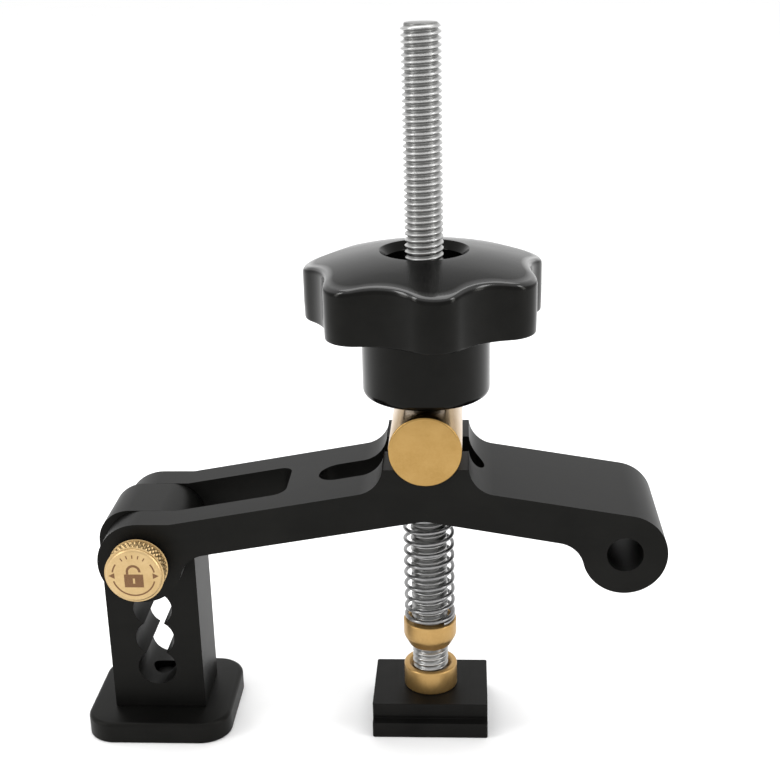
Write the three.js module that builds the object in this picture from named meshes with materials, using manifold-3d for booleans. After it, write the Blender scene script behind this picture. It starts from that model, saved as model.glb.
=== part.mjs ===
import * as THREE from "three";
import { mergeVertices } from "three/addons/utils/BufferGeometryUtils.js";
import Module from "manifold-3d";

// T-track hold-down clamp. Millimetres, +Z up, +X towards the arm's nose,
// -Y towards the lock knob. The origin is the centre of the track nut's
// underside, on the axis of the threaded rod.

const wasm = await Module();
wasm.setup();

// ---------------------------------------------------------------- dimensions

// Track nut, an inverted T in section.
const NUT_LENGTH = 25.3;
const NUT_FLANGE_W = 22.4;
const NUT_FLANGE_H = 4.2;
const NUT_NECK_W = 19.2;
const NUT_H = 7.4;
const NUT_FLOOR = 1.2;

// Threaded rod, M8 x 1.25, modelled at its crest radius.
const ROD_R = 3.95;
const ROD_BOTTOM = 1.5;
const ROD_TOP = 152;
const ROD_CHAMFER = 0.7;
const THREAD_BORE_R = 4.03;
const CLEAR_BORE_R = 4.2;

// Collars on the rod and the spring between seat and arm.
const LOCK_COLLAR_R = 5.9;
const LOCK_COLLAR_Z = [7.7, 12.8];
const SEAT_R = 5.85;
const SEAT_Z = [20.1, 23.9];
const SEAT_CONE_Z = 17.7;
const SEAT_CONE_R = 4.55;
const SPRING_WIRE_R = 0.38;
const SPRING_COIL_R = 5.12;
const SPRING_Z = [24.3, 51.6];
const SPRING_TURNS = 11.4;
const SPRING_CLOSED_TURNS = 1.0;

// Pivot barrel, lying along Y in the arm's saddle.
const AXIS_Z = 69.3;
const BARREL_R = 7.5;
const BARREL_LENGTH = 30.2;
const BARREL_CHAMFER = 0.4;

// Arm.
const ARM_W = 28.8;
const ARM_SADDLE_R = 7.7;
const HORN_TOP = 65.2;
const HORN_X = 8.8;
const HORN_FILLET_R = 6.2;
const NOSE = [40.8, 46.3];
const NOSE_R = 8.75;
const NOSE_HOLE_R = 3.75;
const PIVOT = [-60.4, 43.9];
const EAR_R = 9.0;
const TOP_RIGHT_SLOPE = -0.166;
const TOP_LEFT_SLOPE = 0.1723;
const TOP_LEFT_Z0 = 62.13;
const UNDER_RIGHT = [53.65, -0.175];
const UNDER_LEFT = [53.78, 0.169];
const UNDER_FILLET_R = 6;
const ROD_SLOT_W = 8.5;
const ROD_SLOT_X = [-23.4, 12.1];
const FORK_W = 14.7;
const FORK_END_X = -29.85;
const FORK_CORNER_R = 3.0;

// Leg, its row of pin seats and its foot.
const LEG_W = 20.3;
const LEG_D = 14.1;
const LEG_Z = [4.9, 52.9];
const LEG_CORNER_R = 7;
const SEAT_PITCH = 7.25;
const SEAT_COUNT = 5;
const SEAT_HOLE_R = 4.25;
const FOOT_X = 32.0;
const FOOT_Y = 29.0;
const FOOT_H = 4.8;
const FOOT_CORNER_R = 6.5;
const SCREW_R = 2.5;
const SCREW_BORE_R = 2.6;
const SCREW_HEAD_R = 4.6;
const SCREW_TOP = 9.6;
const SCREW_SOCKET_R = 1.6;

// Lock pin with two flats, its knob and the parts that keep it in.
const PIN_R = 4.0;
const PIN_BORE_R = 4.1;
const PIN_FLAT = 2.0;
const PIN_Y = [-19.0, 17.6];
const LOCK_KNOB_R = 6.25;
const LOCK_KNOB_Y = [-19.9, -15.2];
const WASHER_R = 6.4;
const WASHER_Y = [14.7, 15.5];
const CLIP_R = 5.9;
const CLIP_Y = [15.8, 16.6];
const CLIP_GROOVE_R = 3.2;

// Star knob and the threaded insert inside it.
const KNOB_R = 25.2;
const KNOB_VALLEY_R = 21.7;
const KNOB_LOBES = 7;
const KNOB_LOBE_R = 6.2;
const KNOB_TURN = -1.45;
const KNOB_WING_Z = [93.0, 103.5];
const KNOB_DOME_Z = 107.5;
const KNOB_HUB_R = 13.3;
const KNOB_HUB_Z = 77.1;
const KNOB_RIM_R = 9.0;
const KNOB_HOLE_R = 7.6;
const KNOB_HOLE_FLOOR = 95.0;
const INSERT_R = 6.6;
const INSERT_Z = [78.6, 94.4];

// ------------------------------------------------------------ solid helpers

function toManifold(geometry) {
  const bare = geometry.clone();
  bare.deleteAttribute("normal");
  bare.deleteAttribute("uv");
  const merged = mergeVertices(bare, 1e-4);
  const vertProperties = Float32Array.from(merged.attributes.position.array);
  const triVerts = Uint32Array.from(merged.index.array);
  return new wasm.Manifold(new wasm.Mesh({ numProp: 3, vertProperties, triVerts }));
}

function toGeometry(solid) {
  const mesh = solid.getMesh();
  const count = mesh.vertProperties.length / mesh.numProp;
  const position = new Float32Array(count * 3);
  for (let i = 0; i < count; i += 1) {
    for (let k = 0; k < 3; k += 1) {
      position[3 * i + k] = mesh.vertProperties[mesh.numProp * i + k];
    }
  }
  const geometry = new THREE.BufferGeometry();
  geometry.setAttribute("position", new THREE.BufferAttribute(position, 3));
  geometry.setIndex(new THREE.BufferAttribute(Uint32Array.from(mesh.triVerts), 1));
  geometry.computeVertexNormals();
  return geometry;
}

// A solid turned about Z from [radius, height] pairs, listed upwards.
function turned(profile, segments = 48) {
  const points = profile.map(([r, z]) => new THREE.Vector2(r, z));
  const lathe = new THREE.LatheGeometry(points, segments);
  lathe.rotateX(Math.PI / 2);
  return toManifold(lathe);
}

// The same, about an axis along Y through (x, z); heights become Y values.
function turnedAlongY(profile, x, z, segments = 48) {
  return turned(profile, segments).rotate([-90, 0, 0]).translate([x, 0, z]);
}

// A shape drawn in X and Z, extruded along Y between two values.
function plateXZ(shape, y0, y1, curveSegments = 24) {
  const options = { depth: y1 - y0, bevelEnabled: false, curveSegments };
  const body = new THREE.ExtrudeGeometry(shape, options);
  body.rotateX(Math.PI / 2);
  body.translate(0, y1, 0);
  return toManifold(body);
}

// A shape drawn in X and Y, extruded along Z between two values.
function plateXY(shape, z0, z1, curveSegments = 12) {
  const options = { depth: z1 - z0, bevelEnabled: false, curveSegments };
  const body = new THREE.ExtrudeGeometry(shape, options);
  body.translate(0, 0, z0);
  return toManifold(body);
}

function boxBetween(x0, x1, y0, y1, z0, z1) {
  const box = new THREE.BoxGeometry(x1 - x0, y1 - y0, z1 - z0);
  box.translate((x0 + x1) / 2, (y0 + y1) / 2, (z0 + z1) / 2);
  return toManifold(box);
}

function rodAlongY(r, x, z, y0, y1, segments = 48) {
  return turnedAlongY([[0, y0], [r, y0], [r, y1], [0, y1]], x, z, segments);
}

function rodAlongZ(r, z0, z1, segments = 48) {
  return turned([[0, z0], [r, z0], [r, z1], [0, z1]], segments);
}

function roundedRect(x0, x1, y0, y1, r) {
  const shape = new THREE.Shape();
  shape.moveTo(x0 + r, y0);
  shape.lineTo(x1 - r, y0);
  shape.absarc(x1 - r, y0 + r, r, -Math.PI / 2, 0, false);
  shape.lineTo(x1, y1 - r);
  shape.absarc(x1 - r, y1 - r, r, 0, Math.PI / 2, false);
  shape.lineTo(x0 + r, y1);
  shape.absarc(x0 + r, y1 - r, r, Math.PI / 2, Math.PI, false);
  shape.lineTo(x0, y0 + r);
  shape.absarc(x0 + r, y0 + r, r, Math.PI, Math.PI * 1.5, false);
  return shape;
}

// ------------------------------------------------------------------ the nut

function trackNut() {
  const half = NUT_NECK_W / 2;
  const wide = NUT_FLANGE_W / 2;
  const c = 0.5;
  const section = new THREE.Shape();
  section.moveTo(-wide + c, 0);
  section.lineTo(wide - c, 0);
  section.lineTo(wide, c);
  section.lineTo(wide, NUT_FLANGE_H);
  section.lineTo(half, NUT_FLANGE_H);
  section.lineTo(half, NUT_H - c);
  section.lineTo(half - c, NUT_H);
  section.lineTo(-half + c, NUT_H);
  section.lineTo(-half, NUT_H - c);
  section.lineTo(-half, NUT_FLANGE_H);
  section.lineTo(-wide, NUT_FLANGE_H);
  section.lineTo(-wide, c);
  const bar = plateXZ(section, -NUT_LENGTH / 2, NUT_LENGTH / 2).rotate([0, 0, 90]);
  return bar.subtract(rodAlongZ(THREAD_BORE_R, NUT_FLOOR, NUT_H + 1));
}

// ------------------------------------------------------ rod, collars, spring

function threadedRod() {
  const tip = ROD_R - ROD_CHAMFER;
  return turned([
    [0, ROD_BOTTOM],
    [tip, ROD_BOTTOM],
    [ROD_R, ROD_BOTTOM + ROD_CHAMFER],
    [ROD_R, ROD_TOP - ROD_CHAMFER],
    [tip, ROD_TOP],
    [0, ROD_TOP],
  ]);
}

function lockCollar() {
  const [z0, z1] = LOCK_COLLAR_Z;
  const body = turned([
    [0, z0],
    [LOCK_COLLAR_R - 0.3, z0],
    [LOCK_COLLAR_R, z0 + 0.3],
    [LOCK_COLLAR_R, z1 - 0.3],
    [LOCK_COLLAR_R - 0.3, z1],
    [0, z1],
  ]);
  return body.subtract(rodAlongZ(THREAD_BORE_R, z0 - 1, z1 + 1));
}

function springSeat() {
  const [z0, z1] = SEAT_Z;
  const body = turned([
    [0, SEAT_CONE_Z],
    [SEAT_CONE_R, SEAT_CONE_Z],
    [SEAT_R, z0],
    [SEAT_R, z1 - 0.3],
    [SEAT_R - 0.3, z1],
    [0, z1],
  ]);
  return body.subtract(rodAlongZ(THREAD_BORE_R, SEAT_CONE_Z - 1, z1 + 1));
}

// Height of the spring's wire centre after a number of turns: one closed
// turn at each end, an even pitch between.
function springHeight(turn) {
  const [z0, z1] = SPRING_Z;
  const closed = 2 * SPRING_WIRE_R + 0.02;
  const active = SPRING_TURNS - 2 * SPRING_CLOSED_TURNS;
  const pitch = (z1 - z0 - 2 * SPRING_WIRE_R - 2 * closed) / active;
  const base = z0 + SPRING_WIRE_R;
  if (turn < SPRING_CLOSED_TURNS) {
    return base + closed * turn;
  }
  if (turn > SPRING_TURNS - SPRING_CLOSED_TURNS) {
    const past = turn - (SPRING_TURNS - SPRING_CLOSED_TURNS);
    return base + closed + pitch * active + closed * past;
  }
  return base + closed + pitch * (turn - SPRING_CLOSED_TURNS);
}

function springPoint(turn, ring, sides) {
  const angle = turn * 2 * Math.PI;
  const phi = (ring / sides) * 2 * Math.PI;
  const r = SPRING_COIL_R + SPRING_WIRE_R * Math.cos(phi);
  const z = springHeight(turn) + SPRING_WIRE_R * Math.sin(phi);
  return [r * Math.cos(angle), r * Math.sin(angle), z];
}

function returnSpring(perTurn = 20, sides = 6) {
  const steps = Math.round(SPRING_TURNS * perTurn);
  const position = [];
  const index = [];
  for (let i = 0; i <= steps; i += 1) {
    for (let k = 0; k < sides; k += 1) {
      position.push(...springPoint(i / perTurn, k, sides));
    }
  }
  for (let i = 0; i < steps; i += 1) {
    for (let k = 0; k < sides; k += 1) {
      const a = i * sides + k;
      const b = i * sides + ((k + 1) % sides);
      index.push(a, a + sides, b, b, a + sides, b + sides);
    }
  }
  for (let k = 1; k < sides - 1; k += 1) {
    const last = steps * sides;
    index.push(0, k, k + 1);
    index.push(last, last + k + 1, last + k);
  }
  const vertProperties = Float32Array.from(position);
  const triVerts = Uint32Array.from(index);
  return new wasm.Manifold(new wasm.Mesh({ numProp: 3, vertProperties, triVerts }));
}

// ------------------------------------------------------------------- barrel

function pivotBarrel() {
  const half = BARREL_LENGTH / 2;
  const face = BARREL_R - BARREL_CHAMFER;
  const body = turnedAlongY([
    [0, -half],
    [face, -half],
    [BARREL_R, -half + BARREL_CHAMFER],
    [BARREL_R, half - BARREL_CHAMFER],
    [face, half],
    [0, half],
  ], 0, AXIS_Z, 64);
  const bore = rodAlongZ(CLEAR_BORE_R, AXIS_Z - BARREL_R - 1, AXIS_Z + BARREL_R + 1);
  return body.subtract(bore);
}

// ---------------------------------------------------------------------- arm

// Centre of the fillet between a sloping underside line and a round boss.
function underFilletCentre(line, centre, radius, side) {
  const [z0, slope] = line;
  const drop = UNDER_FILLET_R * Math.hypot(1, slope);
  const reach = radius + UNDER_FILLET_R;
  const b = z0 - drop - centre[1];
  const qa = 1 + slope * slope;
  const qb = 2 * (slope * b - centre[0]);
  const qc = centre[0] ** 2 + b * b - reach * reach;
  const root = Math.sqrt(qb * qb - 4 * qa * qc);
  const x = (-qb + side * root) / (2 * qa);
  return [x, z0 - drop + slope * x];
}

function armProfile() {
  const s = new THREE.Shape();
  const tiltR = Math.atan(-TOP_RIGHT_SLOPE);
  const tiltL = Math.atan(TOP_LEFT_SLOPE);
  const hornInner = Math.sqrt(ARM_SADDLE_R ** 2 - (AXIS_Z - HORN_TOP) ** 2);
  const saddleAngle = Math.atan2(HORN_TOP - AXIS_Z, hornInner);
  const noseX = NOSE[0] + NOSE_R * Math.sin(tiltR);
  const noseZ = NOSE[1] + NOSE_R * Math.cos(tiltR);
  const rightAt = (x) => noseZ + TOP_RIGHT_SLOPE * (x - noseX);
  const leftAt = (x) => TOP_LEFT_Z0 + TOP_LEFT_SLOPE * x;
  const rx = HORN_X + HORN_FILLET_R;
  const rz = rightAt(rx) + HORN_FILLET_R * Math.hypot(1, TOP_RIGHT_SLOPE);
  const lz = leftAt(-rx) + HORN_FILLET_R * Math.hypot(1, TOP_LEFT_SLOPE);
  const earTop = PIVOT[1] + EAR_R;
  const kneeX = (earTop - TOP_LEFT_Z0) / TOP_LEFT_SLOPE;
  const fr = underFilletCentre(UNDER_RIGHT, NOSE, NOSE_R, -1);
  const fl = underFilletCentre(UNDER_LEFT, PIVOT, EAR_R, 1);
  const noseToFillet = Math.atan2(fr[1] - NOSE[1], fr[0] - NOSE[0]);
  const earToFillet = Math.atan2(fl[1] - PIVOT[1], fl[0] - PIVOT[0]);
  const underR = Math.atan(-UNDER_RIGHT[1]);
  const underL = Math.atan(UNDER_LEFT[1]);
  const ridgeX = (UNDER_RIGHT[0] - UNDER_LEFT[0]) / (UNDER_LEFT[1] - UNDER_RIGHT[1]);
  const up = Math.PI / 2;

  const startX = fr[0] + UNDER_FILLET_R * Math.sin(underR);
  s.moveTo(ridgeX, UNDER_LEFT[0] + UNDER_LEFT[1] * ridgeX);
  s.lineTo(startX, UNDER_RIGHT[0] + UNDER_RIGHT[1] * startX);
  s.absarc(fr[0], fr[1], UNDER_FILLET_R, up - underR, noseToFillet + Math.PI, true);
  s.absarc(NOSE[0], NOSE[1], NOSE_R, noseToFillet, up - tiltR, false);
  s.absarc(rx, rz, HORN_FILLET_R, -up - tiltR, -Math.PI, true);
  s.lineTo(HORN_X, HORN_TOP);
  s.lineTo(hornInner, HORN_TOP);
  s.absarc(0, AXIS_Z, ARM_SADDLE_R, saddleAngle, -Math.PI - saddleAngle, true);
  s.lineTo(-HORN_X, HORN_TOP);
  s.absarc(-rx, lz, HORN_FILLET_R, 0, -up + tiltL, true);
  s.lineTo(kneeX, earTop);
  s.absarc(PIVOT[0], PIVOT[1], EAR_R, up, 2 * Math.PI + earToFillet, false);
  s.absarc(fl[0], fl[1], UNDER_FILLET_R, Math.PI + earToFillet, up + underL, true);
  return s;
}

function slotShape(x0, x1, width) {
  const r = width / 2;
  const shape = new THREE.Shape();
  shape.absarc(x1 - r, 0, r, -Math.PI / 2, Math.PI / 2, false);
  shape.absarc(x0 + r, 0, r, Math.PI / 2, Math.PI * 1.5, false);
  return shape;
}

function forkShape() {
  const half = FORK_W / 2;
  const r = FORK_CORNER_R;
  const open = PIVOT[0] - EAR_R - 5;
  const shape = new THREE.Shape();
  shape.moveTo(open, -half);
  shape.lineTo(FORK_END_X - r, -half);
  shape.absarc(FORK_END_X - r, -half + r, r, -Math.PI / 2, 0, false);
  shape.absarc(FORK_END_X - r, half - r, r, 0, Math.PI / 2, false);
  shape.lineTo(open, half);
  return shape;
}

function clampArm() {
  const half = ARM_W / 2;
  const bar = plateXZ(armProfile(), -half, half, 28);
  const rodSlot = plateXY(slotShape(ROD_SLOT_X[0], ROD_SLOT_X[1], ROD_SLOT_W), 30, 80);
  const fork = plateXY(forkShape(), 20, 80);
  const pinBore = rodAlongY(PIN_BORE_R, PIVOT[0], PIVOT[1], -half - 1, half + 1);
  const noseHole = rodAlongY(NOSE_HOLE_R, NOSE[0], NOSE[1], -half - 1, half + 1);
  return bar.subtract(rodSlot).subtract(fork).subtract(pinBore).subtract(noseHole);
}

// ------------------------------------------------------------- leg and foot

function legPost() {
  const x0 = PIVOT[0] - LEG_W / 2;
  const x1 = PIVOT[0] + LEG_W / 2;
  const r = LEG_CORNER_R;
  const outline = new THREE.Shape();
  outline.moveTo(x0, LEG_Z[0]);
  outline.lineTo(x1, LEG_Z[0]);
  outline.absarc(x1 - r, LEG_Z[1] - r, r, 0, Math.PI / 2, false);
  outline.absarc(x0 + r, LEG_Z[1] - r, r, Math.PI / 2, Math.PI, false);
  let post = plateXZ(outline, -LEG_D / 2, LEG_D / 2, 12);
  for (let i = 0; i < SEAT_COUNT; i += 1) {
    const z = PIVOT[1] - i * SEAT_PITCH;
    post = post.subtract(rodAlongY(SEAT_HOLE_R, PIVOT[0], z, -LEG_D, LEG_D, 40));
  }
  const tapped = rodAlongZ(SCREW_BORE_R, 0, PIVOT[1] - 4 * SEAT_PITCH, 24);
  return post.subtract(tapped.translate([PIVOT[0], 0, 0]));
}

function footPlate() {
  const x0 = PIVOT[0] - FOOT_X / 2;
  const x1 = PIVOT[0] + FOOT_X / 2;
  const half = FOOT_Y / 2;
  const plate = plateXY(roundedRect(x0, x1, -half, half, FOOT_CORNER_R), 0, FOOT_H);
  const sink = SCREW_HEAD_R - SCREW_BORE_R + 0.3;
  const hole = turned([
    [0, -1],
    [SCREW_HEAD_R + 0.3, -1],
    [SCREW_HEAD_R + 0.3, 0.6],
    [SCREW_BORE_R, 0.6 + sink],
    [SCREW_BORE_R, FOOT_H + 1],
    [0, FOOT_H + 1],
  ], 36);
  return plate.subtract(hole.translate([PIVOT[0], 0, 0]));
}

function footScrew() {
  const sink = SCREW_HEAD_R - SCREW_R;
  const body = turned([
    [0, 0.35],
    [SCREW_HEAD_R, 0.35],
    [SCREW_HEAD_R, 0.6],
    [SCREW_R, 0.6 + sink],
    [SCREW_R, SCREW_TOP - 0.5],
    [SCREW_R - 0.5, SCREW_TOP],
    [0, SCREW_TOP],
  ], 36);
  const socket = turned([
    [0, -1],
    [SCREW_SOCKET_R, -1],
    [SCREW_SOCKET_R, 2.4],
    [0, 2.4],
  ], 6);
  return body.subtract(socket).translate([PIVOT[0], 0, 0]);
}

// ----------------------------------------------------------------- lock pin

function lockPin() {
  const [y0, y1] = PIN_Y;
  const [x, z] = PIVOT;
  const groove = CLIP_Y;
  const pin = turnedAlongY([
    [0, y0],
    [PIN_R - 0.4, y0],
    [PIN_R, y0 + 0.4],
    [PIN_R, groove[0] - 0.1],
    [CLIP_GROOVE_R, groove[0] - 0.1],
    [CLIP_GROOVE_R, groove[1] + 0.1],
    [PIN_R, groove[1] + 0.1],
    [PIN_R, y1 - 0.4],
    [PIN_R - 0.4, y1],
    [0, y1],
  ], x, z);
  const flatLength = LEG_D / 2 + 0.15;
  const left = boxBetween(x - 9, x - PIN_FLAT, -flatLength, flatLength, z - 9, z + 9);
  const right = boxBetween(x + PIN_FLAT, x + 9, -flatLength, flatLength, z - 9, z + 9);
  return pin.subtract(left).subtract(right);
}

function lockKnob() {
  const [y0, y1] = LOCK_KNOB_Y;
  const body = turnedAlongY([
    [0, y0],
    [LOCK_KNOB_R - 0.7, y0],
    [LOCK_KNOB_R, y0 + 0.7],
    [LOCK_KNOB_R, y1 - 0.4],
    [LOCK_KNOB_R - 0.4, y1],
    [0, y1],
  ], PIVOT[0], PIVOT[1], 56);
  const socket = rodAlongY(PIN_R + 0.02, PIVOT[0], PIVOT[1], PIN_Y[0] - 0.1, y1 + 1);
  return body.subtract(socket);
}

function pinWasher() {
  const [y0, y1] = WASHER_Y;
  const disc = rodAlongY(WASHER_R, PIVOT[0], PIVOT[1], y0, y1);
  return disc.subtract(rodAlongY(PIN_R + 0.15, PIVOT[0], PIVOT[1], y0 - 1, y1 + 1));
}

// An open retaining ring with three inner prongs and a mouth at the bottom.
function pinClip() {
  const [y0, y1] = CLIP_Y;
  const [x, z] = PIVOT;
  const ring = rodAlongY(CLIP_R, x, z, y0, y1).subtract(
    rodAlongY(PIN_R + 0.35, x, z, y0 - 1, y1 + 1),
  );
  let clip = ring;
  for (const angle of [90, 205, 335]) {
    const prong = boxBetween(CLIP_GROOVE_R + 0.05, CLIP_R - 0.4, y0, y1, -0.9, 0.9);
    clip = clip.add(prong.rotate([0, -angle, 0]).translate([x, 0, z]));
  }
  const mouth = boxBetween(x - 1.9, x + 1.9, y0 - 1, y1 + 1, z - CLIP_R - 1, z - 2.2);
  return clip.subtract(mouth);
}

// --------------------------------------------------------------- star knob

function starShape(offset) {
  const lobe = KNOB_LOBE_R - offset;
  const reach = KNOB_R - KNOB_LOBE_R;
  const half = Math.PI / KNOB_LOBES;
  const gap = KNOB_VALLEY_R - KNOB_LOBE_R;
  const valleyAt = (reach ** 2 - gap ** 2) / (2 * (reach * Math.cos(half) - gap));
  const valley = valleyAt - KNOB_VALLEY_R + offset;
  const shape = new THREE.Shape();
  for (let i = 0; i < KNOB_LOBES; i += 1) {
    const a = KNOB_TURN + i * 2 * half;
    const cx = reach * Math.cos(a);
    const cy = reach * Math.sin(a);
    const vx = valleyAt * Math.cos(a + half);
    const vy = valleyAt * Math.sin(a + half);
    const toValley = Math.atan2(vy - cy, vx - cx);
    const before = a - (toValley - a);
    shape.absarc(cx, cy, lobe, before, toValley, false);
    const start = toValley + Math.PI;
    const sweep = 2 * (a + half + Math.PI - start);
    shape.absarc(vx, vy, valley, start, start + sweep, true);
  }
  return shape;
}

function starKnob() {
  const [z0, z1] = KNOB_WING_Z;
  const wing = plateXY(starShape(0), z0 + 0.8, z1 - 1.2, 8);
  const under = plateXY(starShape(0.6), z0, z0 + 0.8, 8);
  const upper = plateXY(starShape(0.5), z1 - 1.2, z1, 8);
  const dome = turned([
    [0, z1],
    [KNOB_VALLEY_R - 1.2, z1],
    [17.0, z1 + 1.9],
    [12.5, z1 + 3.4],
    [KNOB_RIM_R + 0.8, KNOB_DOME_Z],
    [0, KNOB_DOME_Z],
  ], 56);
  const hub = turned([
    [0, KNOB_HUB_Z],
    [KNOB_HUB_R - 0.8, KNOB_HUB_Z],
    [KNOB_HUB_R, KNOB_HUB_Z + 0.8],
    [KNOB_HUB_R, z0 + 2],
    [0, z0 + 2],
  ], 56);
  const body = wing.add(under).add(upper).add(dome).add(hub);
  const mouth = turned([
    [0, KNOB_HOLE_FLOOR],
    [KNOB_HOLE_R, KNOB_HOLE_FLOOR],
    [KNOB_HOLE_R, KNOB_DOME_Z - 1.4],
    [KNOB_RIM_R + 0.05, KNOB_DOME_Z + 0.05],
    [KNOB_RIM_R + 0.05, KNOB_DOME_Z + 1],
    [0, KNOB_DOME_Z + 1],
  ]);
  const pocket = rodAlongZ(INSERT_R + 0.05, INSERT_Z[0] - 0.05, KNOB_HOLE_FLOOR + 1);
  const clear = rodAlongZ(CLEAR_BORE_R, KNOB_HUB_Z - 1, INSERT_Z[0] + 1);
  return body.subtract(mouth).subtract(pocket).subtract(clear);
}

function knobInsert() {
  const [z0, z1] = INSERT_Z;
  return rodAlongZ(INSERT_R, z0, z1).subtract(rodAlongZ(THREAD_BORE_R, z0 - 1, z1 + 1));
}

// ----------------------------------------------------------------- assembly

const FINISHES = {
  anodised: { color: 0x232325, roughness: 0.5, metalness: 0.7 },
  oxide: { color: 0x1b1b1c, roughness: 0.55, metalness: 0.6 },
  zinc: { color: 0xb9bcc0, roughness: 0.32, metalness: 1.0 },
  spring: { color: 0x9a9da3, roughness: 0.3, metalness: 1.0 },
  brass: { color: 0xd0a355, roughness: 0.28, metalness: 1.0 },
  plastic: { color: 0x141414, roughness: 0.3, metalness: 0.0 },
};

const PIECES = [
  ["track_nut", trackNut, "oxide"],
  ["threaded_rod", threadedRod, "zinc"],
  ["lock_collar", lockCollar, "brass"],
  ["spring_seat", springSeat, "brass"],
  ["return_spring", returnSpring, "spring"],
  ["pivot_barrel", pivotBarrel, "brass"],
  ["star_knob", starKnob, "plastic"],
  ["knob_insert", knobInsert, "brass"],
  ["clamp_arm", clampArm, "anodised"],
  ["lock_pin", lockPin, "zinc"],
  ["lock_knob", lockKnob, "brass"],
  ["pin_washer", pinWasher, "zinc"],
  ["pin_clip", pinClip, "spring"],
  ["leg_post", legPost, "anodised"],
  ["foot_plate", footPlate, "anodised"],
  ["foot_screw", footScrew, "oxide"],
];

function makePiece(name, build, finish) {
  const material = new THREE.MeshStandardMaterial(FINISHES[finish]);
  const mesh = new THREE.Mesh(toGeometry(build()), material);
  mesh.name = name;
  return mesh;
}

const clamp = new THREE.Group();
clamp.name = "hold_down_clamp";
for (const [name, build, finish] of PIECES) {
  clamp.add(makePiece(name, build, finish));
}

export default clamp;
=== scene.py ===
"""Looks for a T-track hold-down clamp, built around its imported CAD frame.

Sizes in the classes are millimetres in the part's own frame: +Z up the threaded rod, +X towards the
arm's nose, -Y towards the lock knob. Pieces are scaled to metres when they are finished.
"""

from __future__ import annotations

import logging
import math
from dataclasses import dataclass
from enum import Enum
from functools import reduce
from operator import add
from typing import Callable, Sequence

import bmesh
import bpy
from mathutils import Matrix, Vector


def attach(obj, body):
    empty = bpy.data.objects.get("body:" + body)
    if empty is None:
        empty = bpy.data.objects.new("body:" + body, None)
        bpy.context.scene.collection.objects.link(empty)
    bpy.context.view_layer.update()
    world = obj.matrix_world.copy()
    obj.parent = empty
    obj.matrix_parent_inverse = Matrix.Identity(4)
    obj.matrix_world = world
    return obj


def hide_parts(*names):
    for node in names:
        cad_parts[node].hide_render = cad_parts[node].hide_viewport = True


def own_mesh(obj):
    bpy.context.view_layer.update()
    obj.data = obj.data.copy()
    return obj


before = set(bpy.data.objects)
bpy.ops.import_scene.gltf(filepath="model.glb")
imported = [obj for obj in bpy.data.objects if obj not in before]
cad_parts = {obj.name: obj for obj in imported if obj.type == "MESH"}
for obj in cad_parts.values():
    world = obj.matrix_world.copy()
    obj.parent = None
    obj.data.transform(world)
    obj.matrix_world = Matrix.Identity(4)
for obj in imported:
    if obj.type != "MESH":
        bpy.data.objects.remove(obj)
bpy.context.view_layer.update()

LOG = logging.getLogger("clamp")
MM = 0.001
FULL_TURN = 2 * math.pi
Point = tuple[float, float]
Corner = tuple[float, float, float]
Colour = tuple[float, float, float]
NEAR = 0.01
CAD_WELD = 0.002
CAD_FLAT_DEGREES = 0.6
CAD_SHARP_DEGREES = 25.0
SOFTEN_ABOVE_DEGREES = 34.0
BORE_SIDES = 64
SHEEN_TINT: Colour = (1.0, 0.99, 0.93)


class Axis(Enum):
    """The direction a turned piece's axis lies along."""

    Y = (0.0, 1.0, 0.0)
    Z = (0.0, 0.0, 1.0)


# ---------------------------------------------------------------- materials


class Signal:
    """A number that varies over a surface: a socket that takes Python arithmetic."""

    def __init__(self, nodes: Nodes, socket: bpy.types.NodeSocket) -> None:
        """Wraps an output socket of one material's nodes."""
        self.nodes = nodes
        self.socket = socket

    def __add__(self, other: Signal | float) -> Signal:
        """self + other."""
        return self.nodes.maths("ADD", self, other)

    def __radd__(self, other: float) -> Signal:
        """other + self."""
        return self.nodes.maths("ADD", other, self)

    def __sub__(self, other: Signal | float) -> Signal:
        """self - other."""
        return self.nodes.maths("SUBTRACT", self, other)

    def __rsub__(self, other: float) -> Signal:
        """other - self."""
        return self.nodes.maths("SUBTRACT", other, self)

    def __mul__(self, other: Signal | float) -> Signal:
        """self * other."""
        return self.nodes.maths("MULTIPLY", self, other)

    def __rmul__(self, other: float) -> Signal:
        """other * self."""
        return self.nodes.maths("MULTIPLY", other, self)


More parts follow.
